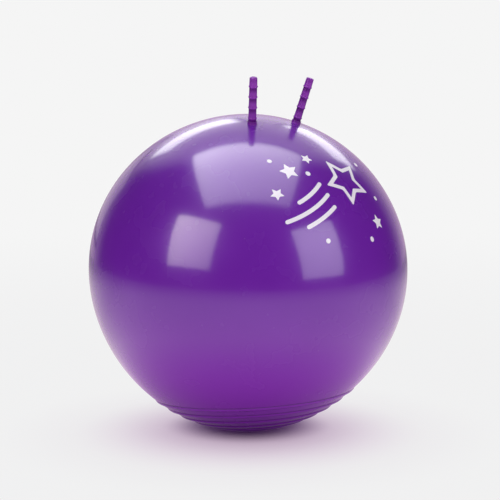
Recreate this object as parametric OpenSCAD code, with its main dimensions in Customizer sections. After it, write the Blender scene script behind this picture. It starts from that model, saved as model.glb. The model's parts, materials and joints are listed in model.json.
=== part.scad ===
// Hopper ball: a blown-up vinyl ball with two ribbed horns, rings round its base and a push-in valve.
// Millimetres, +Z up, front towards -Y, origin on the floor under the middle of the ball.
// Left and right are those of a rider who sits behind the horns and looks to the front.

/* [Ball] */
// Width of the ball across its middle
ball_d = 600; // [450:5:680]
// How far the crown draws in, and the base stands out, from a true ball
pear_draw = 2.5; // [0:0.1:5]
// How far the middle swells past the slopes above and below it
girth_swell = 1.35; // [0:0.05:3]
// Thickness of the skin
skin_t = 1; // [0.8:0.1:2]
// Width of the flat that the ball's weight presses on the floor
rest_d = 60; // [54:1:80]
// Lean of the rings' axis towards the back, in degrees
lean = 6.2; // [0:0.1:10]

/* [Base rings] */
// Width of the largest ring, crest to crest
ring_d = 378; // [340:1:430]
// Number of rings
ring_count = 6; // [1:1:6]
// Spacing of the rings along the skin
ring_pitch = 28; // [18:0.5:30]
// Width of a ring at the skin
ring_w = 9.5; // [5:0.5:12]
// Height of a ring over the skin
ring_h = 2; // [0.8:0.1:2.4]

/* [Horns] */
// Slope of the horns towards the front, in degrees from upright
horn_forward = 16.5; // [8:0.1:30]
// Slope of each horn out to its side, in degrees
horn_splay = 9.5; // [6:0.1:20]
// Length of a horn over the skin
horn_len = 86; // [82:0.5:120]
// Width of a horn between its beads
horn_d = 14.6; // [10:0.2:20]
// How much narrower a horn is just under each bead
horn_waist = 0.8; // [0:0.1:1.6]
// Number of beads on a horn
bead_count = 4; // [1:1:4]
// Spacing of the beads along a horn
bead_pitch = 19.4; // [10:0.1:20]
// Height of a bead along the horn
bead_w = 3.2; // [2:0.1:5]
// How far a bead stands out from the horn
bead_proud = 0.9; // [0.4:0.1:1.4]
// Rounding of a horn's tip
tip_round = 2.2; // [0.5:0.1:4]
// Wall of the collar round a horn's root
collar_wall = 1; // [0.8:0.1:4]
// Thickness of the collar under a horn's root
collar_floor = 0.75; // [0.5:0.05:3]
// Neck between the collar and the point where a horn bends
neck_drop = 2.7; // [2:0.1:4]
// Lowest bead's height over the point where a horn bends
bead_lift = 2.7; // [1:0.1:6]

/* [Valve] */
// Place of the valve on the back, in degrees above level
valve_rise = 20; // [5:1:50]
// Width of the hole that the plug goes into
valve_bore_d = 9; // [6:0.2:14]
// Wall of the valve seat round the plug's head
seat_wall = 2.2; // [1.2:0.1:5]
// Depth of the valve seat under the skin
seat_depth = 14; // [8:0.5:25]
// Width of the seat's lip on the skin, past the hole
lip_w = 3.5; // [1.5:0.1:8]
// Thickness of the seat's lip
lip_t = 1.1; // [0.6:0.1:2]
// Width of the plug's head
plug_head_d = 16; // [15:0.2:24]
// Thickness of the plug's head
plug_head_t = 2.4; // [2:0.1:4]
// Length of the plug's stem under its head
plug_stem = 17; // [8:0.5:30]
// Number of sealing ribs on the stem
rib_count = 3; // [1:1:3]
// Width of a groove beside a sealing rib
groove_w = 1.6; // [0.8:0.1:2]
// Depth of a groove beside a sealing rib
groove_t = 0.5; // [0.2:0.1:1]

/* [Fits] */
// Gap under pieces that are welded to the skin
weld_gap = 0.05; // [0.02:0.01:0.2]
// Gap round a horn's root in its collar
root_gap = 0.3; // [0.2:0.05:0.6]
// Gap round the plug's stem
plug_gap = 0.08; // [0.02:0.01:0.1]
// Gap round and under the plug's head
head_gap = 0.3; // [0.1:0.05:0.6]

/* [Hidden] */

violet = [0.36, 0.11, 0.57];
dark_violet = [0.31, 0.09, 0.5];
white = [0.93, 0.92, 0.94];
meridian_steps = 72;
turn_steps = 180;
small_steps = 64;

ball_r = ball_d / 2;

// Distance of the skin from the ball's middle, at an angle from the top of the rings' axis
function skin_r(angle) = ball_r - pear_draw * cos(3 * angle) + girth_swell * (cos(4 * angle) - 1);

// Half outline of the ball from bottom to top, drawn in by an inset
function meridian(inset) = [
    for (i = [0 : meridian_steps])
        let (angle = 180 - 180 * i / meridian_steps)
        (skin_r(angle) - inset) * [sin(angle), cos(angle)]
];

// Height of the ball's middle over a point of the skin that lies to the side of straight down
function drop_to(side_angle) = skin_r(180 - lean + side_angle) * cos(side_angle);

rest_angle = asin(rest_d / 2 / ball_r);
middle_z = (drop_to(rest_angle) + drop_to(-rest_angle)) / 2;

// Rings: a bead of this radius, sunk so that it is ring_w wide at the skin
ring_bead_r = (pow(ring_h, 2) + pow(ring_w / 2, 2)) / (2 * ring_h);
ring_first_angle = asin(ring_d / 2 / ball_r);
ring_step_angle = ring_pitch / ball_r * 180 / PI;

// Horns: heights over the skin
horn_r = horn_d / 2;
root_z = weld_gap + collar_floor + root_gap + horn_r;
socket_r = horn_r + root_gap;
collar_r = socket_r + collar_wall;
collar_top = root_z - neck_drop;
collar_round = min(collar_wall, collar_top) / 2;
bead_r = bead_w / 2;
bead_first = root_z + bead_lift;
bead_axis_r = horn_r + bead_proud - bead_r;
waist_r = horn_r - horn_waist / 2;
horn_seat_r = skin_r(acos(cos(horn_splay) * cos(horn_forward + lean)));

// Valve: the plug's head lies in a recess of the seat, level with the lip
valve_seat_r = skin_r(90 - valve_rise - lean);
valve_bore_r = valve_bore_d / 2;
stem_r = valve_bore_r - plug_gap;
plug_head_r = plug_head_d / 2;
recess_r = plug_head_r + head_gap;
sleeve_r = recess_r + seat_wall;
skin_hole_r = sleeve_r + weld_gap;
lip_top = weld_gap + lip_t;
recess_z = lip_top - plug_head_t - head_gap;
head_z = recess_z + head_gap;
head_round = plug_head_t / 2;
stem_tip = stem_r / 2;
rib_pitch = (plug_stem - stem_tip) / (rib_count + 1);

// Everything over a level
module above(level) {
    translate([-ball_d, -ball_d, level])
        cube(2 * ball_d);
}

// Turns a half outline round the rings' axis
module on_ring_axis() {
    translate([0, 0, middle_z])
        rotate([-lean, 0, 0])
            rotate_extrude($fn = turn_steps)
                children();
}

// Half outline of the rings
module ring_beads() {
    for (i = [0 : ring_count - 1]) {
        angle = 180 - ring_first_angle + i * ring_step_angle;
        translate((skin_r(angle) + ring_h - ring_bead_r) * [sin(angle), cos(angle)])
            circle(ring_bead_r, $fn = small_steps);
    }
}

// Stands on the skin where a horn grows, side 1 for left and -1 for right
module at_horn(side) {
    translate([0, 0, middle_z])
        rotate([horn_forward, 0, 0])
            rotate([0, side * horn_splay, 0])
                translate([0, 0, horn_seat_r])
                    children();
}

// Stands on the skin where the valve is
module at_valve() {
    translate([0, 0, middle_z])
        rotate([valve_rise - 90, 0, 0])
            translate([0, 0, valve_seat_r])
                children();
}

module ball_shell() {
    color(violet)
        difference() {
            intersection() {
                on_ring_axis() {
                    polygon(meridian(0));
                    ring_beads();
                }
                above(0);
            }
            intersection() {
                on_ring_axis()
                    polygon(meridian(skin_t));
                above(skin_t);
            }
            at_valve()
                translate([0, 0, -ball_r / 4])
                    cylinder(r = skin_hole_r, h = ball_r / 2, $fn = small_steps);
        }
}

// Half outline of a horn: its lengths, each narrowest under the bead above it, and its rounded tip
module horn_lengths() {
    for (i = [0 : bead_count]) {
        low = i == 0 ? root_z : bead_first + (i - 1) * bead_pitch;
        high = i == bead_count ? horn_len - tip_round : bead_first + i * bead_pitch;
        polygon([[0, low], [horn_r, low], [waist_r, high], [0, high]]);
    }
    translate([0, horn_len - tip_round])
        square([waist_r - tip_round, tip_round]);
    translate([waist_r - tip_round, horn_len - tip_round])
        circle(tip_round, $fn = small_steps);
}

module horn_beads() {
    for (i = [0 : bead_count - 1])
        translate([bead_axis_r, bead_first + i * bead_pitch])
            circle(bead_r, $fn = small_steps);
}

module horn() {
    rotate_extrude($fn = small_steps) {
        horn_lengths();
        horn_beads();
        intersection() {
            translate([0, root_z])
                circle(horn_r, $fn = small_steps);
            square([horn_r, root_z]);
        }
    }
}

module collar() {
    rotate_extrude($fn = small_steps)
        difference() {
            union() {
                translate([0, weld_gap])
                    square([collar_r, collar_top - weld_gap - collar_round]);
                square([collar_r - collar_round, collar_top]);
                translate([collar_r - collar_round, collar_top - collar_round])
                    circle(collar_round, $fn = small_steps);
            }
            translate([0, root_z])
                circle(socket_r, $fn = small_steps);
            square([collar_r, weld_gap]);
        }
}

module left_horn() {
    color(dark_violet)
        at_horn(1)
            horn();
}

module right_horn() {
    color(dark_violet)
        at_horn(-1)
            horn();
}

module left_horn_collar() {
    color(dark_violet)
        at_horn(1)
            collar();
}

module right_horn_collar() {
    color(dark_violet)
        at_horn(-1)
            collar();
}

module valve_seat() {
    color(violet)
        at_valve()
            difference() {
                union() {
                    translate([0, 0, -seat_depth])
                        cylinder(r = sleeve_r, h = seat_depth + lip_top, $fn = small_steps);
                    translate([0, 0, weld_gap])
                        cylinder(r1 = sleeve_r + lip_w, r2 = sleeve_r + lip_w - lip_t, h = lip_t,
                                 $fn = small_steps);
                }
                translate([0, 0, recess_z])
                    cylinder(r = recess_r, h = plug_head_t + lip_top, $fn = small_steps);
                translate([0, 0, -seat_depth - 1])
                    cylinder(r = valve_bore_r, h = seat_depth + lip_top + 2, $fn = small_steps);
            }
}

module valve_plug() {
    color(white)
        at_valve()
            difference() {
                union() {
                    translate([0, 0, head_z])
                        cylinder(r = plug_head_r, h = plug_head_t - head_round, $fn = small_steps);
                    translate([0, 0, head_z + plug_head_t - head_round])
                        cylinder(r1 = plug_head_r, r2 = plug_head_r - head_round, h = head_round,
                                 $fn = small_steps);
                    translate([0, 0, head_z - plug_stem + stem_tip])
                        cylinder(r = stem_r, h = plug_stem, $fn = small_steps);
                    translate([0, 0, head_z - plug_stem])
                        cylinder(r1 = stem_r - stem_tip / 2, r2 = stem_r, h = stem_tip, $fn = small_steps);
                }
                for (i = [1 : rib_count])
                    translate([0, 0, head_z - i * rib_pitch - groove_w / 2])
                        difference() {
                            cylinder(r = stem_r + 1, h = groove_w, $fn = small_steps);
                            cylinder(r = stem_r - groove_t, h = groove_w, $fn = small_steps);
                        }
            }
}

ball_shell();
left_horn();
right_horn();
left_horn_collar();
right_horn_collar();
valve_seat();
valve_plug();
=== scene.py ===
import json
import math

import bmesh
import bpy
from mathutils import Matrix, Vector

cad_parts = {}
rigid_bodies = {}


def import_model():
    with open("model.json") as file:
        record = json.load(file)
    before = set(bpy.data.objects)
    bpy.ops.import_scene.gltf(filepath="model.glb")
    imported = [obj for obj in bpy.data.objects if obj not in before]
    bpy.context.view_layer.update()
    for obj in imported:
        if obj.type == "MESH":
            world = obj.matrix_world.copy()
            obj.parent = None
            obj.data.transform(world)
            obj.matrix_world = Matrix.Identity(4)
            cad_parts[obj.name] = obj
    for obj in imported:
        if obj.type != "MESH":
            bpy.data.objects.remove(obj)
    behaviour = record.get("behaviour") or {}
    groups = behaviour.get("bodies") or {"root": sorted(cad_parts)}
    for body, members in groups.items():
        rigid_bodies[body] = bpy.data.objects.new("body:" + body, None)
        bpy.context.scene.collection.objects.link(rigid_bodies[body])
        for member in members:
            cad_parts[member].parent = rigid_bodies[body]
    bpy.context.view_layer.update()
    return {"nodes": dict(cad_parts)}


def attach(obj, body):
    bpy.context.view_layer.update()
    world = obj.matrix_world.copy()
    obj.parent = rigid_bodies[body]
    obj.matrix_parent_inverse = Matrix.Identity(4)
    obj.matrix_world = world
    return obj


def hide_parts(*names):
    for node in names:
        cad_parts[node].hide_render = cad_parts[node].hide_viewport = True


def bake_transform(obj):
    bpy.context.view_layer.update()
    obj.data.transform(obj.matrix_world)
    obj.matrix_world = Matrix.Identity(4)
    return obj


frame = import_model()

print("frame loaded with", len(frame["nodes"]), "nodes")

mm = 0.001


# small helpers for working as by hand

def clearSelection():
    if bpy.context.object and bpy.context.object.mode != "OBJECT":
        bpy.ops.object.mode_set(mode="OBJECT")
    bpy.ops.object.select_all(action="DESELECT")


def pick(piece):
    clearSelection()
    piece.select_set(True)
    bpy.context.view_layer.objects.active = piece


def editMode(piece):
    pick(piece)
    bpy.ops.object.mode_set(mode="EDIT")
    bpy.ops.mesh.select_mode(type="VERT")


def selectFaces(piece, test):
    bpy.ops.mesh.select_mode(type="FACE")
    bpy.ops.mesh.select_all(action="DESELECT")
    mesh = bmesh.from_edit_mesh(piece.data)
    for face in mesh.faces:
        if test(face):
            face.select_set(True)
    bmesh.update_edit_mesh(piece.data)


def drawOutline(name, points):
    # a half outline in the XZ plane: one vertex, extruded from point to point
    clearSelection()
    bpy.ops.mesh.primitive_plane_add(size=1 * mm, location=(0, 0, 0))
    piece = bpy.context.object
    piece.name = piece.data.name = name
    editMode(piece)
    bpy.ops.mesh.select_all(action="SELECT")
    bpy.ops.mesh.merge(type="CENTER")
    bpy.ops.transform.translate(value=(points[0][0], 0, points[0][1]))
    for before, after in zip(points, points[1:]):
        step = (after[0] - before[0], 0, after[1] - before[1])
        bpy.ops.mesh.extrude_vertices_move(TRANSFORM_OT_translate={"value": step})
    return piece


def spinOutline(piece, steps):
    bpy.ops.mesh.select_all(action="SELECT")
    bpy.ops.mesh.spin(steps=steps, angle=2 * math.pi, center=(0, 0, 0), axis=(0, 0, 1))
    bpy.ops.mesh.select_all(action="SELECT")
    bpy.ops.mesh.remove_doubles(threshold=0.002 * mm)
    bpy.ops.mesh.normals_make_consistent(inside=False)
    bpy.ops.object.mode_set(mode="OBJECT")


def settle(piece, matrix):
    # the place goes into the mesh, so the object itself stays at the origin
    pick(piece)
    piece.matrix_world = matrix
    bpy.ops.object.transform_apply(location=True, rotation=True, scale=True)


def smooth(piece, degrees):
    pick(piece)
    bpy.ops.object.shade_smooth_by_angle(angle=math.radians(degrees))


def applyModifier(piece, modifier):
    pick(piece)
    bpy.ops.object.modifier_apply(modifier=modifier.name)


def arc(middle, radius, fromDegrees, toDegrees, steps):
    points = []
    for i in range(steps + 1):
        turn = math.radians(fromDegrees + (toDegrees - fromDegrees) * i / steps)
        points.append((middle[0] + radius * math.cos(turn), middle[1] + radius * math.sin(turn)))
    return points


def softMax(a, b, blendWidth):
    # the larger of two heights, with a small fillet where they cross
    top = max(a, b)
    return top + blendWidth * math.log(math.exp((a - top) / blendWidth) + math.exp((b - top) / blendWidth))


def heading(azimuth, rise):
    # azimuth from the front, towards the rider's left
    turn, up = math.radians(azimuth), math.radians(rise)
    return Vector((math.sin(turn) * math.cos(up), -math.cos(turn) * math.cos(up), math.sin(up)))


# camera: the photograph's view

photoCamera = {
    "place": Vector((-1.2203, -1.73, 0.6263)),
    "lens": 81.08,
    "ballMiddle": Vector((0, 0, 0.3005)),
    "aimRight": 0.0043,
    "aimUp": 0.0410,
}

viewLine = (photoCamera["ballMiddle"] - photoCamera["place"]).normalized()
viewRight = viewLine.cross(Vector((0, 0, 1))).normalized()
viewUp = viewRight.cross(viewLine)
aim = photoCamera["ballMiddle"] + viewRight * photoCamera["aimRight"] + viewUp * photoCamera["aimUp"]
cameraData = bpy.data.cameras.new("photoCamera")
cameraData.lens = photoCamera["lens"]
cameraData.sensor_width = 36
cameraObject = bpy.data.objects.new("photoCamera", cameraData)
bpy.context.scene.collection.objects.link(cameraObject)
cameraObject.location = photoCamera["place"]
cameraObject.rotation_mode = "QUATERNION"
cameraObject.rotation_quaternion = (aim - photoCamera["place"]).to_track_quat("-Z", "Y")
bpy.context.scene.camera = cameraObject
print("camera set")


# materials

def feed(tree, socket, value):
    if isinstance(value, bpy.types.NodeSocket):
        tree.links.new(value, socket)
    else:
        socket.default_value = value


def mathNode(tree, operation, first, second=0.0):
    node = tree.nodes.new("ShaderNodeMath")
    node.operation = operation
    feed(tree, node.inputs[0], first)
    feed(tree, node.inputs[1], second)
    return node.outputs[0]


def vectorNode(tree, operation, first, second=None):
    node = tree.nodes.new("ShaderNodeVectorMath")
    node.operation = operation
    feed(tree, node.inputs[0], first)
    if second is not None:
        feed(tree, node.inputs[1], second)
    return node.outputs["Value" if operation in ("DOT_PRODUCT", "LENGTH") else "Vector"]


def splitNode(tree, vector):
    node = tree.nodes.new("ShaderNodeSeparateXYZ")
    feed(tree, node.inputs[0], vector)
    return node.outputs


def groupNode(tree, group, where, settings):
    node = tree.nodes.new("ShaderNodeGroup")
    node.node_tree = group
    feed(tree, node.inputs["Vector"], where)
    for socketName, value in settings.items():
        node.inputs[socketName].default_value = value
    return node.outputs


def mixColours(tree, factor, first, second):
    node = tree.nodes.new("ShaderNodeMix")
    node.data_type = "RGBA"
    feed(tree, node.inputs[0], factor)
    feed(tree, node.inputs[6], first)
    feed(tree, node.inputs[7], second)
    return node.outputs[2]


def remap(tree, value, low, high, newLow, newHigh):
    node = tree.nodes.new("ShaderNodeMapRange")
    node.interpolation_type = "SMOOTHSTEP"
    for socket, given in zip(node.inputs[:5], (value, low, high, newLow, newHigh)):
        feed(tree, socket, given)
    return node.outputs[0]


def noise(tree, vector, scale, detail=2.0, roughness=0.5):
    node = tree.nodes.new("ShaderNodeTexNoise")
    feed(tree, node.inputs["Vector"], vector)
    feed(tree, node.inputs["Scale"], scale)
    node.inputs["Detail"].default_value = detail
    node.inputs["Roughness"].default_value = roughness
    return node.outputs[0]


def newGroup(name, inputs, outputs):
    group = bpy.data.node_groups.new(name, "ShaderNodeTree")
    for socketName, kind, value in inputs:
        socketType = "NodeSocket" + kind
        socket = group.interface.new_socket(name=socketName, in_out="INPUT", socket_type=socketType)
        if value is not None:
            socket.default_value = value
    for socketName, kind in outputs:
        group.interface.new_socket(name=socketName, in_out="OUTPUT", socket_type="NodeSocket" + kind)
    return group, group.nodes.new("NodeGroupInput"), group.nodes.new("NodeGroupOutput")


def makeToneDrift():
    # slow drift of the dye through moulded vinyl
    group, given, result = newGroup(
        "toneDrift",
        [("Vector", "Vector", None), ("Scale", "Float", 6.0),
         ("Light", "Color", None), ("Deep", "Color", None)],
        [("Color", "Color")])
    wide = noise(group, given.outputs["Vector"], given.outputs["Scale"], 3.0, 0.55)
    share = remap(group, wide, 0.3, 0.7, 0.0, 1.0)
    colour = mixColours(group, share, given.outputs["Deep"], given.outputs["Light"])
    group.links.new(colour, result.inputs["Color"])
    return group


def makeHandling():
    # rubbed patches and single specks of dust
    group, given, result = newGroup(
        "handlingMarks",
        [("Vector", "Vector", None), ("Rub Scale", "Float", 9.0), ("Speck Scale", "Float", 55.0)],
        [("Rub", "Float"), ("Speck", "Float")])
    wide = noise(group, given.outputs["Vector"], given.outputs["Rub Scale"], 2.0)
    patch = remap(group, wide, 0.5, 0.8, 0.0, 1.0)
    fineScale = mathNode(group, "MULTIPLY", given.outputs["Rub Scale"], 5.0)
    fine = remap(group, noise(group, given.outputs["Vector"], fineScale, 1.0), 0.3, 0.8, 0.0, 1.0)
    group.links.new(mathNode(group, "MULTIPLY", patch, fine), result.inputs["Rub"])
    cells = group.nodes.new("ShaderNodeTexVoronoi")
    feed(group, cells.inputs["Vector"], given.outputs["Vector"])
    feed(group, cells.inputs["Scale"], given.outputs["Speck Scale"])
    spot = remap(group, cells.outputs["Distance"], 0.02, 0.045, 1.0, 0.0)
    split = group.nodes.new("ShaderNodeSeparateColor")
    group.links.new(cells.outputs["Color"], split.inputs[0])
    chosen = mathNode(group, "GREATER_THAN", split.outputs[0], 0.86)
    group.links.new(mathNode(group, "MULTIPLY", spot, chosen), result.inputs["Speck"])
    return group


def makeSkinGrain():
    # the slight unevenness of blown vinyl: wide waves and a fine grain
    group, given, result = newGroup(
        "skinGrain",
        [("Vector", "Vector", None), ("Wave Scale", "Float", 30.0), ("Grain Scale", "Float", 420.0),
         ("Grain", "Float", 0.3)],
        [("Height", "Float")])
    wave = noise(group, given.outputs["Vector"], given.outputs["Wave Scale"], 1.0)
    fine = noise(group, given.outputs["Vector"], given.outputs["Grain Scale"], 2.0)
    height = mathNode(group, "ADD", wave, mathNode(group, "MULTIPLY", fine, given.outputs["Grain"]))
    group.links.new(height, result.inputs["Height"])
    return group


toneDrift = makeToneDrift()
handlingMarks = makeHandling()
skinGrain = makeSkinGrain()

ballVinyl = {
    "light": (0.13, 0.0105, 0.325, 1), "deep": (0.118, 0.009, 0.3, 1), "driftScale": 5.0,
    # towards the base: a painted glow of light shining through the skin
    "paintedLowGlow": (0.2, 0.011, 0.395, 1), "lowFrom": 0.36, "lowTo": 0.05,
    "shadeTint": (0.1, 0.003, 0.2, 1), "shadeCoat": 0.1,
    "rubTint": (0.18, 0.04, 0.35, 1), "rubShare": 0.07, "rubScale": 6.0,
    "speckTint": (0.5, 0.42, 0.58, 1), "speckShare": 0.4, "speckScale": 60.0,
    "roughLow": 0.25, "roughHigh": 0.28, "rubRough": 0.02, "specular": 0.22,
    "coat": 0.62, "coatRough": 0.1,
    "waveScale": 14.0, "grainScale": 500.0, "grain": 0.04, "bump": 0.012, "bumpDepth": 0.6 * mm,
}
hornVinyl = {
    "light": (0.245, 0.038, 0.395, 1), "deep": (0.215, 0.03, 0.35, 1), "driftScale": 30.0,
    "shadeTint": (0.105, 0.004, 0.19, 1), "shadeCoat": 0.1,
    "rubTint": (0.26, 0.06, 0.4, 1), "rubShare": 0.2, "rubScale": 40.0,
    "speckTint": (0.45, 0.36, 0.52, 1), "speckShare": 0.3, "speckScale": 180.0,
    "roughLow": 0.32, "roughHigh": 0.42, "rubRough": 0.1, "specular": 0.1,
    "coat": 0.1, "coatRough": 0.16,
    "waveScale": 160.0, "grainScale": 1400.0, "grain": 0.4, "bump": 0.12, "bumpDepth": 0.3 * mm,
}
whiteVinyl = {
    "light": (0.82, 0.81, 0.835, 1), "deep": (0.75, 0.735, 0.77, 1), "driftScale": 60.0,
    "rubTint": (0.62, 0.58, 0.66, 1), "rubShare": 0.3, "rubScale": 60.0,
    "speckTint": (0.5, 0.47, 0.52, 1), "speckShare": 0.35, "speckScale": 220.0,
    "roughLow": 0.34, "roughHigh": 0.42, "rubRough": 0.1, "specular": 0.5,
    "coat": 0.15, "coatRough": 0.25,
    "waveScale": 200.0, "grainScale": 1500.0, "grain": 0.4, "bump": 0.1, "bumpDepth": 0.25 * mm,
}
whiteInk = {
    "light": (0.8, 0.775, 0.84, 1), "deep": (0.74, 0.7, 0.8, 1), "driftScale": 22.0,
    "rubTint": (0.55, 0.42, 0.68, 1), "rubShare": 0.28, "rubScale": 22.0,
    "speckTint": (0.5, 0.4, 0.6, 1), "speckShare": 0.3, "speckScale": 150.0,
    "roughLow": 0.3, "roughHigh": 0.38, "rubRough": 0.08, "specular": 0.3,
    "coat": 0.3, "coatRough": 0.15,
    "waveScale": 24.0, "grainScale": 900.0, "grain": 0.2, "bump": 0.05, "bumpDepth": 0.4 * mm,
}


def makeFinish(name, finish, shade=None):
    material = bpy.data.materials.new(name)
    material.use_nodes = True
    tree = material.node_tree
    shader = tree.nodes["Principled BSDF"]
    where = tree.nodes.new("ShaderNodeTexCoord").outputs["Object"]

    drift = groupNode(tree, toneDrift, where, {
        "Scale": finish["driftScale"], "Light": finish["light"], "Deep": finish["deep"]})
    marks = groupNode(tree, handlingMarks, where, {
        "Rub Scale": finish["rubScale"], "Speck Scale": finish["speckScale"]})
    grain = groupNode(tree, skinGrain, where, {
        "Wave Scale": finish["waveScale"], "Grain Scale": finish["grainScale"], "Grain": finish["grain"]})

    colour = drift["Color"]
    if "paintedLowGlow" in finish:  # painted light through the skin: redder and brighter towards the base
        low = remap(tree, splitNode(tree, where)["Z"], finish["lowTo"], finish["lowFrom"], 1.0, 0.0)
        colour = mixColours(tree, low, colour, finish["paintedLowGlow"])
    if shade:  # deeper and duller where the shade is
        share = shade(tree, where)
        colour = mixColours(tree, share, finish["shadeTint"], colour)
        coat = remap(tree, share, 0.0, 1.0, finish["shadeCoat"], finish["coat"])
    else:
        coat = finish["coat"]
    feed(tree, shader.inputs["Coat Weight"], coat)
    rubShare = mathNode(tree, "MULTIPLY", marks["Rub"], finish["rubShare"])
    rubbed = mixColours(tree, rubShare, colour, finish["rubTint"])
    speckShare = mathNode(tree, "MULTIPLY", marks["Speck"], finish["speckShare"])
    feed(tree, shader.inputs["Base Color"], mixColours(tree, speckShare, rubbed, finish["speckTint"]))

    drifting = noise(tree, where, finish["driftScale"] * 3, 3.0)
    uneven = remap(tree, drifting, 0.3, 0.7, finish["roughLow"], finish["roughHigh"])
    rubRough = mathNode(tree, "MULTIPLY", marks["Rub"], finish["rubRough"])
    feed(tree, shader.inputs["Roughness"], mathNode(tree, "ADD", uneven, rubRough))

    bump = tree.nodes.new("ShaderNodeBump")
    bump.inputs["Strength"].default_value = finish["bump"]
    bump.inputs["Distance"].default_value = finish["bumpDepth"]
    feed(tree, bump.inputs["Height"], grain["Height"])
    feed(tree, shader.inputs["Normal"], bump.outputs["Normal"])

    shader.inputs["Specular IOR Level"].default_value = finish["specular"]
    shader.inputs["Coat Roughness"].default_value = finish["coatRough"]
    return material


plugFinish = makeFinish("satinWhiteVinyl", whiteVinyl)
inkFinish = makeFinish("whiteInk", whiteInk)
print("white finishes made")


def dress(piece, finish, slotName, *nodes):
    piece.data.materials.clear()
    piece.data.materials.append(finish)
    if nodes:
        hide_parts(*nodes)


# ball: a half outline with its base rings, spun round the leaning axis, drawn in at the crown, flat below

ball = {
    "radius": 300 * mm, "pearDraw": 2.3 * mm, "girthSwell": 1.03 * mm, "crownForward": 13.0,
    "middle": Vector((0, 0, 300.528 * mm)), "lean": 6.2,
    "outlineStep": 1.25, "turnSteps": 224, "flatInset": 5 * mm,
}
baseRings = {
    "width": 378 * mm, "count": 6, "pitch": 28 * mm, "ringWidth": 9.5 * mm, "height": 1.8 * mm,
    "fillet": 0.16 * mm, "fineStep": 0.4 * mm, "fineReach": 7.6 * mm,
    "groove": 0.7 * mm, "grooveWidth": 0.7 * mm, "grooveAway": 0.5 * mm,
    "shadeFull": 0.6 * mm, "shadeGone": 1.8 * mm, "plainFull": -0.46, "plainGone": -0.42,
}

ballTurn = Matrix.Rotation(math.radians(-ball["lean"]), 4, "X")
crownTurn = math.radians(ball["crownForward"])
crownAxis = Vector((0, -math.sin(crownTurn), math.cos(crownTurn)))
footPlace = baseRings["ringWidth"] / 2 + baseRings["grooveAway"]


def crownShape(direction):
    # how far the skin lies outside a true ball: drawn in round the horns, out at the girth
    angle = crownAxis.angle(direction)
    return ball["girthSwell"] * (math.cos(4 * angle) - 1) - ball["pearDraw"] * math.cos(3 * angle)


def skinPlace(turn):
    # a matrix that stands on the skin in the direction that the turn gives its Z axis
    direction = turn @ Vector((0, 0, 1))
    reach = ball["radius"] + crownShape(direction)
    return Matrix.Translation(ball["middle"]) @ turn @ Matrix.Translation((0, 0, reach))


def ringAngles():
    first = math.pi - math.asin(baseRings["width"] / 2 / ball["radius"])
    return [first + i * baseRings["pitch"] / ball["radius"] for i in range(baseRings["count"])]


def ringHeight(offset):
    # a bead that is sunk so that it is as wide as the ring where it meets the skin
    bead = (baseRings["height"] ** 2 + (baseRings["ringWidth"] / 2) ** 2) / (2 * baseRings["height"])
    crown = math.sqrt(max(bead ** 2 - offset ** 2, 0)) - bead + baseRings["height"]
    fromFoot = (abs(offset) - footPlace) / baseRings["grooveWidth"]
    return softMax(crown, 0.0, baseRings["fillet"]) - baseRings["groove"] * math.exp(-fromFoot ** 2)


def ballOutline():
    rings = ringAngles()
    reach = baseRings["fineReach"] / ball["radius"]
    count = round(180 / ball["outlineStep"])
    angles = [math.pi * i / count for i in range(count + 1)]
    angles = [a for a in angles if all(abs(a - ring) > reach for ring in rings)]
    steps = round(baseRings["fineReach"] / baseRings["fineStep"])
    for ring in rings:
        angles += [ring + i * reach / steps for i in range(-steps, steps + 1)]
    points = []
    for angle in sorted(angles, reverse=True):
        nearest = min(rings, key=lambda ring: abs(ring - angle))
        distance = ball["radius"] + ringHeight((angle - nearest) * ball["radius"])
        points.append((distance * math.sin(angle), distance * math.cos(angle)))
    points[0] = (0.0, points[0][1])
    points[-1] = (0.0, points[-1][1])
    return points


def ringShade(tree, where):
    # painted shade: full colour on the skin, deeper along both feet of each ring
    outward = vectorNode(tree, "NORMALIZE", vectorNode(tree, "SUBTRACT", where, ball["middle"]))
    along = vectorNode(tree, "DOT_PRODUCT", outward, ballTurn @ Vector((0, 0, 1)))
    past = mathNode(tree, "SUBTRACT", mathNode(tree, "ARCCOSINE", along), ringAngles()[0])
    steps = mathNode(tree, "DIVIDE", past, baseRings["pitch"] / ball["radius"])
    fromRing = mathNode(tree, "MULTIPLY", mathNode(tree, "PINGPONG", steps, 0.5), baseRings["pitch"])
    fromFoot = mathNode(tree, "ABSOLUTE", mathNode(tree, "SUBTRACT", fromRing, footPlace))
    share = remap(tree, fromFoot, baseRings["shadeFull"], baseRings["shadeGone"], 0.0, 1.0)
    above = remap(tree, steps, baseRings["plainFull"], baseRings["plainGone"], 1.0, 0.0)
    return mathNode(tree, "MAXIMUM", share, above)


ballFinish = makeFinish("glossVioletVinyl", ballVinyl, ringShade)


def makeBall():
    piece = drawOutline("hopperBall", ballOutline())
    spinOutline(piece, ball["turnSteps"])
    settle(piece, Matrix.Translation(ball["middle"]) @ ballTurn)
    editMode(piece)
    mesh = bmesh.from_edit_mesh(piece.data)
    for vertex in mesh.verts:
        outward = (vertex.co - ball["middle"]).normalized()
        vertex.co += outward * crownShape(outward)
    bmesh.update_edit_mesh(piece.data)
    bpy.ops.mesh.select_all(action="SELECT")
    bpy.ops.mesh.bisect(plane_co=(0, 0, 0), plane_no=(0, 0, 1), use_fill=True, clear_inner=True,
                        threshold=1e-6)
    selectFaces(piece, lambda face: face.normal.z < -0.999 and face.calc_center_median().z < 0.01 * mm)
    bpy.ops.mesh.inset(thickness=ball["flatInset"])
    bpy.ops.object.mode_set(mode="OBJECT")
    return piece


hopperBall = makeBall()
print("ball spun:", len(hopperBall.data.polygons), "faces")


# valve: a seat welded into the back of the ball and a plug pushed into it

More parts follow.
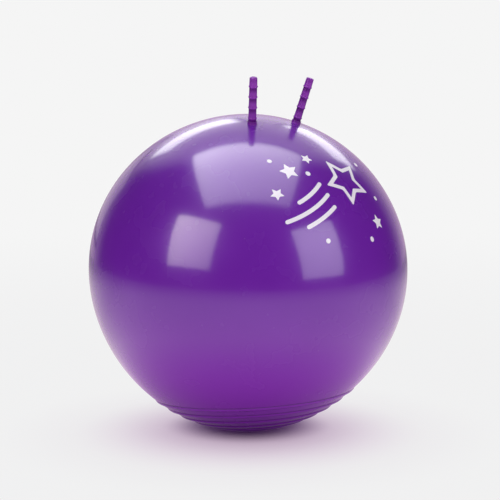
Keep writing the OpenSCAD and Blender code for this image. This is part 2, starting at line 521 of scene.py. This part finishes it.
valve = {
    "rise": 20, "turnSteps": 96, "pocketRadius": 10.55 * mm, "pocketDepth": 22 * mm,
    "bore": 4.5, "seatDepth": 14, "sleeve": 10.5, "recess": 8.3, "recessFloor": -1.55,
    "lip": 14.0, "lipTop": 1.15, "lipSink": -0.5,
    "headRadius": 8.0, "headFloor": -1.25, "headTop": 1.15, "headRound": 1.1, "dish": 0.35,
    "stem": 4.42, "stemEnd": -18.25, "stemTip": 2.21,
    "ribs": 3, "ribPitch": 3.6975, "grooveHalf": 0.8, "grooveDepth": 0.5,
}

valvePlace = skinPlace(Matrix.Rotation(math.radians(valve["rise"] - 90), 4, "X"))


def inMillimetres(points):
    return [(x * mm, z * mm) for x, z in points]


def cutPocket(piece):
    clearSelection()
    bpy.ops.mesh.primitive_cylinder_add(vertices=valve["turnSteps"], radius=valve["pocketRadius"],
                                        depth=2 * valve["pocketDepth"])
    cutter = bpy.context.object
    cutter.matrix_world = valvePlace
    cut = piece.modifiers.new("valvePocket", "BOOLEAN")
    cut.operation = "DIFFERENCE"
    cut.solver = "EXACT"
    cut.object = cutter
    applyModifier(piece, cut)
    bpy.data.objects.remove(cutter)


def makeSeat():
    v = valve
    points = [(v["bore"], -v["seatDepth"]), (v["bore"], -4.0), (v["bore"], v["recessFloor"] - 0.3)]
    points += arc((v["bore"] + 0.3, v["recessFloor"] - 0.3), 0.3, 180, 90, 4)[1:]
    points += [(v["recess"] - 0.4, v["recessFloor"])]
    points += arc((v["recess"] - 0.3, v["recessFloor"] + 0.3), 0.3, -90, 0, 4)
    points += arc((v["recess"] + 0.35, v["lipTop"] - 0.35), 0.35, 180, 90, 5)
    points += [(v["lip"] - 2.4, v["lipTop"])]
    points += arc((v["lip"] - 2.0, v["lipTop"] - 1.2), 1.2, 80, 15, 8)
    points += [(v["lip"] - 0.45, -0.2), (v["lip"], v["lipSink"]), (v["sleeve"], v["lipSink"] - 0.1)]
    points += [(v["sleeve"], 0.4 - v["seatDepth"]), (v["sleeve"] - 0.4, -v["seatDepth"]), points[0]]
    piece = drawOutline("valveSeat", inMillimetres(points))
    spinOutline(piece, v["turnSteps"])
    settle(piece, valvePlace)
    smooth(piece, 35)
    return piece


def makePlug():
    v = valve
    points = [(0, v["stemEnd"]), (v["stem"] - 1.5, v["stemEnd"]), (v["stem"] - 1.1, v["stemEnd"] + 0.25)]
    points += [(v["stem"], v["stemEnd"] + v["stemTip"])]
    for i in range(v["ribs"], 0, -1):  # sealing ribs stand between rounded grooves
        groove = v["headFloor"] - i * v["ribPitch"]
        half, depth = v["grooveHalf"], v["grooveDepth"]
        points += [(v["stem"], groove - half - 0.15), (v["stem"] - 0.1, groove - half + 0.05)]
        points += [(v["stem"] - depth, groove - half + 0.35), (v["stem"] - depth, groove + half - 0.35)]
        points += [(v["stem"] - 0.1, groove + half - 0.05), (v["stem"], groove + half + 0.15)]
    points += [(v["stem"], v["headFloor"])]
    points += arc((v["headRadius"] - 0.3, v["headFloor"] + 0.3), 0.3, -90, 0, 4)
    rim, top, rounding = v["headRadius"], v["headTop"], v["headRound"]
    dish = top - v["dish"]
    points += arc((rim - rounding, top - rounding), rounding, 0, 90, 8)
    points += [(rim - 1.7, top - 0.02), (rim - 2.1, top - 0.12)]
    points += [(rim - 2.6, dish + 0.06), (rim - 3.2, dish)]
    points += [(1.9, dish - 0.05), (1.5, dish + 0.12), (0, dish + 0.18)]
    piece = drawOutline("valvePlug", inMillimetres(points))
    spinOutline(piece, v["turnSteps"])
    settle(piece, valvePlace)
    smooth(piece, 35)
    return piece


cutPocket(hopperBall)
smooth(hopperBall, 30)
dress(hopperBall, ballFinish, "gloss_vinyl", "ball_shell")
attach(hopperBall, "ball")
valveSeat = makeSeat()
dress(valveSeat, ballFinish, "gloss_vinyl", "valve_seat")
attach(valveSeat, "ball")
valvePlug = makePlug()
dress(valvePlug, plugFinish, "white_vinyl", "valve_plug")
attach(valvePlug, "valve_plug")
print("valve fitted")


# horns: ribbed grips on flared feet

horn = {
    "forward": 16.5, "splay": 9.5, "length": 86.0, "radius": 7.3, "waist": 6.9, "turnSteps": 72,
    "bendHeight": 8.4, "bendReach": 30.0, "beads": 4, "beadFirst": 11.1, "beadPitch": 19.4,
    "beadRadius": 1.6, "beadRing": 6.6, "beadFillet": 0.1, "tipRound": 2.2, "step": 0.45,
}
foot = {
    "radius": 8.6, "top": 5.7, "socket": 7.6, "edgeRound": 1.2,
    "flare": 0.3, "flareTop": 1.2, "sink": -0.35, "turnSteps": 72,
}


def hornPlace(side):
    forward = Matrix.Rotation(math.radians(horn["forward"]), 4, "X")
    return skinPlace(forward @ Matrix.Rotation(math.radians(side * horn["splay"]), 4, "Y"))


def beadShade(tree, where):
    # painted shade and light along a horn: deep just under each bead, lighter down to the bead below
    stands = hornPlace(1)
    axis = stands.to_3x3() @ Vector((0, 0, 1))
    across, back, up = splitNode(tree, where)
    mirrored = tree.nodes.new("ShaderNodeCombineXYZ")
    for socket, part in zip(mirrored.inputs, (mathNode(tree, "ABSOLUTE", across), back, up)):
        feed(tree, socket, part)
    along = vectorNode(tree, "DOT_PRODUCT", mirrored.outputs[0], axis)
    start = axis.dot(stands.translation) + horn["beadFirst"] * mm
    steps = mathNode(tree, "DIVIDE", mathNode(tree, "SUBTRACT", along, start), horn["beadPitch"] * mm)
    part = mathNode(tree, "FRACT", steps)
    stretch = remap(tree, part, 0.35, 0.8, 1.0, 0.0)
    bead = remap(tree, part, 0.9, 0.96, 0.0, 1.0)
    tip = remap(tree, steps, horn["beads"] - 1.02, horn["beads"] - 0.98, 0.0, 0.65)
    return mathNode(tree, "MAXIMUM", mathNode(tree, "MAXIMUM", stretch, bead), tip)


hornFinish = makeFinish("satinVioletVinyl", hornVinyl, beadShade)


def hornRadiusAt(height):
    # lengths that narrow towards the bead above, with the beads over them
    beadHeights = [horn["beadFirst"] + i * horn["beadPitch"] for i in range(horn["beads"])]
    lows = [horn["bendHeight"]] + beadHeights
    highs = beadHeights + [horn["length"] - horn["tipRound"]]
    width = horn["waist"]
    for low, high in zip(lows, highs):
        if low <= height <= high:
            width = horn["radius"] + (horn["waist"] - horn["radius"]) * (height - low) / (high - low)
    nearest = min(beadHeights, key=lambda z: abs(z - height))
    offset = abs(height - nearest)
    bead = horn["beadRing"] + math.sqrt(max(horn["beadRadius"] ** 2 - offset ** 2, 0))
    bead -= max(offset - horn["beadRadius"], 0) * 4
    return softMax(width, bead, horn["beadFillet"])


def hornOutline():
    points = arc((0, horn["bendHeight"]), horn["radius"], -90, 0, 14)
    points[0] = (0.0, points[0][1])
    tipStart = horn["length"] - horn["tipRound"]
    count = round((tipStart - horn["bendHeight"]) / horn["step"])
    for i in range(1, count):
        height = horn["bendHeight"] + (tipStart - horn["bendHeight"]) * i / count
        points.append((hornRadiusAt(height), height))
    points += arc((horn["waist"] - horn["tipRound"], tipStart), horn["tipRound"], 0, 90, 9)
    points += [(2.4, horn["length"]), (1.2, horn["length"] - 0.05), (0, horn["length"] - 0.1)]
    return points


def makeHorn(name, side):
    piece = drawOutline(name, inMillimetres(hornOutline()))
    spinOutline(piece, horn["turnSteps"])
    settle(piece, hornPlace(side))
    smooth(piece, 50)
    return piece


def makeFoot(name, side):
    f = foot
    points = [(0, f["sink"]), (f["radius"] + f["flare"], f["sink"])]
    for i in range(1, 8):  # hollow flare from the skin up to the wall
        turn = math.radians(90 * i / 7)
        wide = f["radius"] + f["flare"] * (1 - math.sin(turn))
        points.append((wide, f["flareTop"] * (1 - math.cos(turn))))
    points += arc((f["radius"] - f["edgeRound"], f["top"] - f["edgeRound"]), f["edgeRound"], 0, 90, 6)
    rim = -math.degrees(math.asin((horn["bendHeight"] - f["top"] + 0.2) / f["socket"]))
    points += arc((0, horn["bendHeight"]), f["socket"], rim, -90, 12)
    points[-1] = (0.0, points[-1][1])
    piece = drawOutline(name, inMillimetres(points))
    spinOutline(piece, f["turnSteps"])
    settle(piece, hornPlace(side))
    smooth(piece, 40)
    return piece


for sideName, side in (("left", 1), ("right", -1)):
    grip = makeHorn(sideName + "Horn", side)
    dress(grip, hornFinish, "horn_vinyl", sideName + "_horn")
    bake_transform(grip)
    collar = makeFoot(sideName + "HornFoot", side)
    dress(collar, hornFinish, "horn_vinyl", sideName + "_horn_collar")
    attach(collar, "ball")
print("horns and feet fitted")


# print: a shooting star with its trail, small stars and dots, in white ink on the front

starPrint = {
    "across": 0.0, "rise": 32.0, "grid": 6 * mm, "halfWidth": 126 * mm, "halfHeight": 102 * mm,
    "line": 7.2, "inkProud": 0.16 * mm, "inkThick": 0.34 * mm, "castFrom": 40 * mm,
    "smallRatio": 0.5, "smallRound": 0.07, "trailSides": 120, "dotSides": 28,
    "bigStar": {"place": (46, 34), "radius": 50, "ratio": 0.52, "turn": 100, "round": 3.4},
    "trails": [
        {"middle": (-122, 150), "radius": 182, "from": -86, "to": -50},
        {"middle": (-122, 150), "radius": 204, "from": -77, "to": -53},
        {"middle": (-122, 150), "radius": 160, "from": -75, "to": -46},
    ],
    "smallStars": [
        {"place": (-62, 62), "radius": 17, "turn": 78}, {"place": (-16, 84), "radius": 11, "turn": 104},
        {"place": (92, -44), "radius": 14, "turn": 82}, {"place": (-100, 22), "radius": 12, "turn": 96},
    ],
    "dots": [  # across, up, radius
        (-30, 52, 4.6), (-84, 90, 4.0), (64, -76, 4.6), (112, 4, 4.2), (106, 78, 4.6), (-36, -74, 4.2),
    ],
}


def addCircle(sides, radius, place, turn=0.0):
    bpy.ops.mesh.select_all(action="DESELECT")
    bpy.ops.mesh.primitive_circle_add(vertices=sides, radius=radius, fill_type="NGON",
                                      location=(place[0], place[1], 0), rotation=(0, 0, math.radians(turn)))


def addStar(piece, place, radius, ratio, turn, rounding):
    addCircle(10, radius, place, turn)
    mesh = bmesh.from_edit_mesh(piece.data)
    corners = [v for v in mesh.verts if v.select]
    middle = Vector((place[0], place[1], 0))
    corners.sort(key=lambda v: math.atan2(v.co.y - middle.y, v.co.x - middle.x))
    pointing = math.radians(turn + 90)
    toTip = Vector((math.cos(pointing), math.sin(pointing), 0))
    tip = max(range(10), key=lambda i: (corners[i].co - middle) @ toTip)
    for i, corner in enumerate(corners):
        corner.select_set((i - tip) % 2 == 1)
    bmesh.update_edit_mesh(piece.data)
    bpy.ops.transform.resize(value=(ratio, ratio, 1), center_override=middle)
    bpy.ops.mesh.select_linked()
    bpy.ops.mesh.bevel(offset=rounding, segments=4, affect="VERTICES")


def addStarLine(piece, star, line):
    # an outer and an inner star, bridged to one even line
    radius, ratio = star["radius"] * mm, star["ratio"]
    place = (star["place"][0] * mm, star["place"][1] * mm)
    low = radius * ratio
    side = math.sqrt(radius ** 2 + low ** 2 - 2 * radius * low * math.cos(math.radians(36)))
    edgeDistance = radius * low * math.sin(math.radians(36)) / side
    share = (edgeDistance - line) / edgeDistance
    addStar(piece, place, radius, ratio, star["turn"], star["round"] * mm)
    bpy.ops.mesh.delete(type="ONLY_FACE")
    addStar(piece, place, radius * share, ratio, star["turn"], star["round"] * mm * 0.4)
    bpy.ops.mesh.delete(type="ONLY_FACE")
    mesh = bmesh.from_edit_mesh(piece.data)
    for vertex in mesh.verts:
        vertex.select_set(not vertex.link_faces)
    mesh.select_flush(True)
    bmesh.update_edit_mesh(piece.data)
    bpy.ops.mesh.bridge_edge_loops()


def addTrail(piece, trail, line):
    # a stretch of a large circle, widened to a line with round ends
    middle = Vector((trail["middle"][0] * mm, trail["middle"][1] * mm, 0))
    radius = trail["radius"] * mm
    outer = radius + line / 2
    bpy.ops.mesh.select_all(action="DESELECT")
    bpy.ops.mesh.primitive_circle_add(vertices=starPrint["trailSides"], radius=outer, fill_type="NOTHING",
                                      location=middle)
    mesh = bmesh.from_edit_mesh(piece.data)
    for vertex in mesh.verts:
        if vertex.select:
            turn = math.degrees(math.atan2(vertex.co.y - middle.y, vertex.co.x - middle.x))
            vertex.select_set(not trail["from"] <= turn <= trail["to"])
    mesh.select_flush(False)
    bmesh.update_edit_mesh(piece.data)
    bpy.ops.mesh.delete(type="VERT")
    mesh = bmesh.from_edit_mesh(piece.data)
    for vertex in mesh.verts:
        vertex.select_set(not vertex.link_faces and len(vertex.link_edges) in (1, 2))
    mesh.select_flush(True)
    bmesh.update_edit_mesh(piece.data)
    inner = (outer - line) / outer
    bpy.ops.mesh.extrude_edges_move(TRANSFORM_OT_translate={"value": (0, 0, 0)})
    bpy.ops.transform.resize(value=(inner, inner, 1), center_override=middle)
    bpy.ops.mesh.select_linked()
    mesh = bmesh.from_edit_mesh(piece.data)
    for vertex in mesh.verts:
        vertex.select_set(vertex.select and len(vertex.link_faces) == 1)
    mesh.select_flush(False)
    bmesh.update_edit_mesh(piece.data)
    bpy.ops.mesh.bevel(offset=line * 0.49, segments=7, affect="VERTICES")


def faceUp(piece):
    selectFaces(piece, lambda face: face.normal.z < 0)
    bpy.ops.mesh.flip_normals()


def makePrint():
    p = starPrint
    line = p["line"] * mm
    clearSelection()
    bpy.ops.mesh.primitive_plane_add(size=1 * mm, location=(0, 0, 0))
    piece = bpy.context.object
    piece.name = piece.data.name = "starPrint"
    editMode(piece)
    bpy.ops.mesh.select_all(action="SELECT")
    bpy.ops.mesh.delete(type="VERT")
    for trail in p["trails"]:
        addTrail(piece, trail, line)
    addStarLine(piece, p["bigStar"], line)
    for star in p["smallStars"]:
        place = (star["place"][0] * mm, star["place"][1] * mm)
        rounding = star["radius"] * p["smallRound"] * mm
        addStar(piece, place, star["radius"] * mm, p["smallRatio"], star["turn"], rounding)
    for across, up, radius in p["dots"]:
        addCircle(p["dotSides"], radius * mm, (across * mm, up * mm))
    faceUp(piece)
    # cut into small squares, so that the ink can follow the round skin
    for half, normal in ((p["halfWidth"], Vector((1, 0, 0))), (p["halfHeight"], Vector((0, 1, 0)))):
        for i in range(-int(half / p["grid"]), int(half / p["grid"]) + 1):
            bpy.ops.mesh.select_all(action="SELECT")
            bpy.ops.mesh.bisect(plane_co=normal * (i * p["grid"] + 0.1 * mm), plane_no=normal)
    bpy.ops.object.mode_set(mode="OBJECT")
    outward = heading(p["across"], p["rise"])
    across = Vector((0, 0, 1)).cross(outward).normalized()
    up = outward.cross(across)
    turned = Matrix((across, up, outward)).transposed().to_4x4()
    place = ball["middle"] + outward * (ball["radius"] + p["castFrom"])
    piece.matrix_world = Matrix.Translation(place) @ turned
    wrap = piece.modifiers.new("ontoSkin", "SHRINKWRAP")
    wrap.target = hopperBall
    wrap.wrap_method = "PROJECT"
    wrap.use_project_z = True
    wrap.use_negative_direction = True
    wrap.use_positive_direction = False
    wrap.offset = p["inkProud"]
    applyModifier(piece, wrap)
    thick = piece.modifiers.new("inkThickness", "SOLIDIFY")
    thick.thickness = p["inkThick"]
    thick.offset = -1
    applyModifier(piece, thick)
    settle(piece, piece.matrix_world.copy())
    smooth(piece, 40)
    return piece


inkPrint = makePrint()
dress(inkPrint, inkFinish, "white_vinyl")
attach(inkPrint, "ball")
print("print laid on:", len(inkPrint.data.polygons), "faces")


# stage: white floor, pale background and softboxes

studio = {
    "background": (0.913, 0.913, 0.913, 1), "ambient": (0.28, 0.28, 0.28, 1), "dim": (0.02, 0.02, 0.02, 1),
    "cones": [  # what the vinyl mirrors behind the ball: colour, azimuth, rise, full within, gone beyond
        {"colour": (0.68, 0.52, 0.64, 1), "azimuth": 144.8, "rise": -4.0, "inner": 25.0, "outer": 56.0},
        {"colour": (1.25, 1.15, 1.2, 1), "azimuth": 146.0, "rise": 50.0, "inner": 26.0, "outer": 40.0},
    ],
    "floorRadius": 3.6, "floorColour": (0.86, 0.86, 0.865, 1), "floorGlow": (0.876, 0.876, 0.88, 1),
    # the shade and wide glows are painted shadow round the ball, the core tint a painted violet bounce on
    # the paper
    "shadeGlow": (0.86, 0.65, 0.83, 1), "shadeLift": 0.33, "shadeReach": 0.345,
    "shadeShift": 0.03, "shadeSquash": 0.6,
    "wideGlow": (0.83, 0.812, 0.834, 1), "wideFrom": 0.22, "wideTo": 0.5,
    "coreFrom": 0.065, "coreTo": 0.17, "coreSquash": 0.8, "coreTint": (0.86, 0.56, 0.85, 1),
    "fadeFrom": 0.5, "fadeTo": 3.5,
    # the bounce tint paints a violet bounce near the ball into the floor's glow
    "bounceTint": (0.92, 0.57, 1.0, 1), "openTint": (1.05, 0.92, 0.95, 1), "tintFrom": 0.1, "tintTo": 0.54,
    "bounceShift": 0.09, "bounceUnder": 0.12, "bounceOpen": 1.38, "openTo": 0.54,
    "bounceFar": 0.4, "farFrom": 1.2, "farTo": 3.0,
    "bounceBehind": 0.64, "behindFrom": -0.35, "behindTo": 0.45,
}
softboxes = {
    # place, half width and height, glow, its fall across and up, soft edges across and up, lamp power, tint
    "topBox": {"place": (-0.175, -0.25, 2.05), "half": (0.93, 0.95), "glow": 5.9, "slope": (-0.3, 0.36),
               "edge": (0.08, 0.25), "power": 17.5},
    "leftBox": {"place": (-2.081, -0.566, 1.31), "half": (0.665, 0.708), "glow": 6.5, "slope": (-0.33, 0.32),
                "edge": (0.06, 0.06), "power": 11, "tint": (1.06, 1.0, 0.88, 1)},
    "rightBox": {"place": (0.613, -2.196, 1.069), "half": (0.68, 0.73), "glow": 4.5, "slope": (0.0, 0.22),
                 "edge": (0.06, 0.06), "power": 11},
    "backLeftStrip": {"place": (0.442, 1.822, 1.776), "half": (0.7, 0.29), "glow": 4.6, "slope": (0.0, 0.0),
                      "edge": (0.3, 0.3), "power": 0},
    "backRightStrip": {"place": (1.769, 0.838, 1.716), "half": (0.62, 0.3), "glow": 4.4, "slope": (0.0, 0.0),
                       "edge": (0.3, 0.3), "power": 0},
    "sideGlow": {"place": (0.146, 2.383, 0.80), "half": (0.6, 0.53), "glow": 0.78, "slope": (0.0, 0.0),
                 "edge": (0.2, 0.25), "power": 0, "tint": (1.0, 0.84, 0.95, 1)},
}


def facing(place, middle):
    return (Vector(place) - middle).to_track_quat("Z", "Y").to_matrix().to_4x4()


def bareMaterial(name):
    material = bpy.data.materials.new(name)
    material.use_nodes = True
    material.node_tree.nodes.clear()
    return material, material.node_tree


def emissionNode(tree, colour, strength=1.0):
    node = tree.nodes.new("ShaderNodeEmission")
    feed(tree, node.inputs["Color"], colour)
    feed(tree, node.inputs["Strength"], strength)
    return node.outputs[0]


def mixShaders(tree, factor, first, second):
    node = tree.nodes.new("ShaderNodeMixShader")
    for socket, given in zip(node.inputs, (factor, first, second)):
        feed(tree, socket, given)
    return node.outputs[0]


def showSurface(tree, surface):
    feed(tree, tree.nodes.new("ShaderNodeOutputMaterial").inputs["Surface"], surface)


def glowMaterial(name, box):
    material, tree = bareMaterial(name)
    parts = splitNode(tree, tree.nodes.new("ShaderNodeTexCoord").outputs["Object"])
    level = box["glow"]
    for i in (0, 1):
        fall = mathNode(tree, "ADD", mathNode(tree, "MULTIPLY", parts[i], box["slope"][i]), 1.0)
        rim = remap(tree, mathNode(tree, "ABSOLUTE", parts[i]), 1 - box["edge"][i], 1.0, 1.0, 0.0)
        level = mathNode(tree, "MULTIPLY", level, mathNode(tree, "MULTIPLY", fall, rim))
    showSurface(tree, emissionNode(tree, box.get("tint", (1, 1, 1, 1)), level))
    return material


def addSoftbox(name, box):
    # the plane is only mirrored in the vinyl, the lamp only lights it
    clearSelection()
    bpy.ops.mesh.primitive_plane_add(size=2, location=(0, 0, 0))
    plane = bpy.context.object
    plane.name = name
    turned = facing(box["place"], ball["middle"])
    plane.matrix_world = Matrix.Translation(box["place"]) @ turned @ Matrix.Diagonal((*box["half"], 1, 1))
    plane.data.materials.append(glowMaterial(name + "Glow", box))
    plane.visible_camera = plane.visible_diffuse = plane.visible_shadow = False
    plane.visible_transmission = plane.visible_volume_scatter = False
    if box["power"]:
        lampData = bpy.data.lights.new(name + "Lamp", "AREA")
        lampData.shape = "RECTANGLE"
        lampData.size, lampData.size_y = 2 * box["half"][0], 2 * box["half"][1]
        lampData.energy = box["power"]
        lamp = bpy.data.objects.new(name + "Lamp", lampData)
        bpy.context.scene.collection.objects.link(lamp)
        lamp.matrix_world = Matrix.Translation(box["place"]) @ turned
        lamp.visible_glossy = False


def awayFromBall(tree, where, shift, squash):
    # distance on the floor from a middle moved towards the camera, longer along the view
    moved = vectorNode(tree, "ADD", where, viewLine * shift)
    away = vectorNode(tree, "LENGTH", moved)
    deep = vectorNode(tree, "DOT_PRODUCT", moved, viewLine)
    added = mathNode(tree, "MULTIPLY", mathNode(tree, "MULTIPLY", deep, deep), squash)
    return mathNode(tree, "SQRT", mathNode(tree, "ADD", mathNode(tree, "MULTIPLY", away, away), added))


def floorMaterial():
    s = studio
    material, tree = bareMaterial("whiteFloor")
    where = tree.nodes.new("ShaderNodeTexCoord").outputs["Object"]
    away = vectorNode(tree, "LENGTH", where)
    deep = vectorNode(tree, "DOT_PRODUCT", where, viewLine)
    # as the camera sees it: the paper's own shadow under the ball, mixed into a painted shadow in the glow
    # round it, then even white up to the background
    shaded = awayFromBall(tree, where, s["shadeShift"], s["shadeSquash"])
    clear = remap(tree, shaded, 0.0, s["shadeReach"], 0.0, 1.0)
    wide = remap(tree, shaded, s["wideFrom"], s["wideTo"], 0.0, 1.0)
    far = remap(tree, away, s["fadeFrom"], s["fadeTo"], 0.0, 1.0)
    paper = tree.nodes.new("ShaderNodeBsdfDiffuse")
    # the paper is tinted violet near the ball, a painted bounce of light from the ball
    feed(tree, paper.inputs["Color"], mixColours(tree, clear, s["coreTint"], s["floorColour"]))
    # the glow is painted darker and violet round the ball, with a faint wide band of painted shadow beside
    # it
    near = mixColours(tree, clear, s["shadeGlow"], mixColours(tree, wide, s["wideGlow"], s["floorGlow"]))
    glow = emissionNode(tree, mixColours(tree, far, near, s["background"]))
    lift = remap(tree, shaded, 0.0, s["shadeReach"], s["shadeLift"], 1.0)
    core = awayFromBall(tree, where, 0.0, s["coreSquash"])
    core = remap(tree, core, s["coreFrom"], s["coreTo"], 0.0, 1.0)
    shown = mixShaders(tree, mathNode(tree, "MULTIPLY", lift, core), paper.outputs[0], glow)
    # as the vinyl is lit by it, a painted glow: a painted shadow under the ball, a painted violet bounce
    # near it, bright in the open, dimmer behind and far off
    opening = awayFromBall(tree, where, s["bounceShift"], 0.0)
    rising = remap(tree, opening, 0.0, s["openTo"], s["bounceUnder"], s["bounceOpen"])
    falling = remap(tree, away, s["farFrom"], s["farTo"], 1.0, s["bounceFar"])
    turning = remap(tree, deep, s["behindFrom"], s["behindTo"], 1.0, s["bounceBehind"])
    level = mathNode(tree, "MULTIPLY", rising, mathNode(tree, "MULTIPLY", falling, turning))
    plain = remap(tree, away, s["tintFrom"], s["tintTo"], 0.0, 1.0)
    bounce = emissionNode(tree, mixColours(tree, plain, s["bounceTint"], s["openTint"]), level)
    seen = tree.nodes.new("ShaderNodeLightPath").outputs["Is Camera Ray"]
    showSurface(tree, mixShaders(tree, seen, bounce, shown))
    return material


def makeFloor():
    clearSelection()
    bpy.ops.mesh.primitive_circle_add(vertices=128, radius=studio["floorRadius"], fill_type="NGON",
                                      location=(0, 0, -0.2 * mm))
    floor = bpy.context.object
    floor.name = "floor"
    floor.data.materials.append(floorMaterial())


def makeWorld():
    world = bpy.data.worlds.new("studio")
    bpy.context.scene.world = world
    world.use_nodes = True
    tree = world.node_tree
    background = tree.nodes["Background"]
    looking = tree.nodes.new("ShaderNodeTexCoord").outputs["Generated"]
    mirrored = studio["dim"]
    for cone in studio["cones"]:
        along = vectorNode(tree, "DOT_PRODUCT", looking, heading(cone["azimuth"], cone["rise"]))
        outer, inner = math.cos(math.radians(cone["outer"])), math.cos(math.radians(cone["inner"]))
        share = remap(tree, along, outer, inner, 0.0, 1.0)
        mirrored = mixColours(tree, share, mirrored, cone["colour"])
    path = tree.nodes.new("ShaderNodeLightPath")
    lit = mixColours(tree, path.outputs["Is Glossy Ray"], studio["ambient"], mirrored)
    clear = mathNode(tree, "MAXIMUM", path.outputs["Is Camera Ray"], path.outputs["Is Transmission Ray"])
    feed(tree, background.inputs["Color"], mixColours(tree, clear, lit, studio["background"]))


makeFloor()
makeWorld()
for boxName, box in softboxes.items():
    addSoftbox(boxName, box)
bpy.context.scene.view_settings.view_transform = "Standard"
print("stage set")

clearSelection()
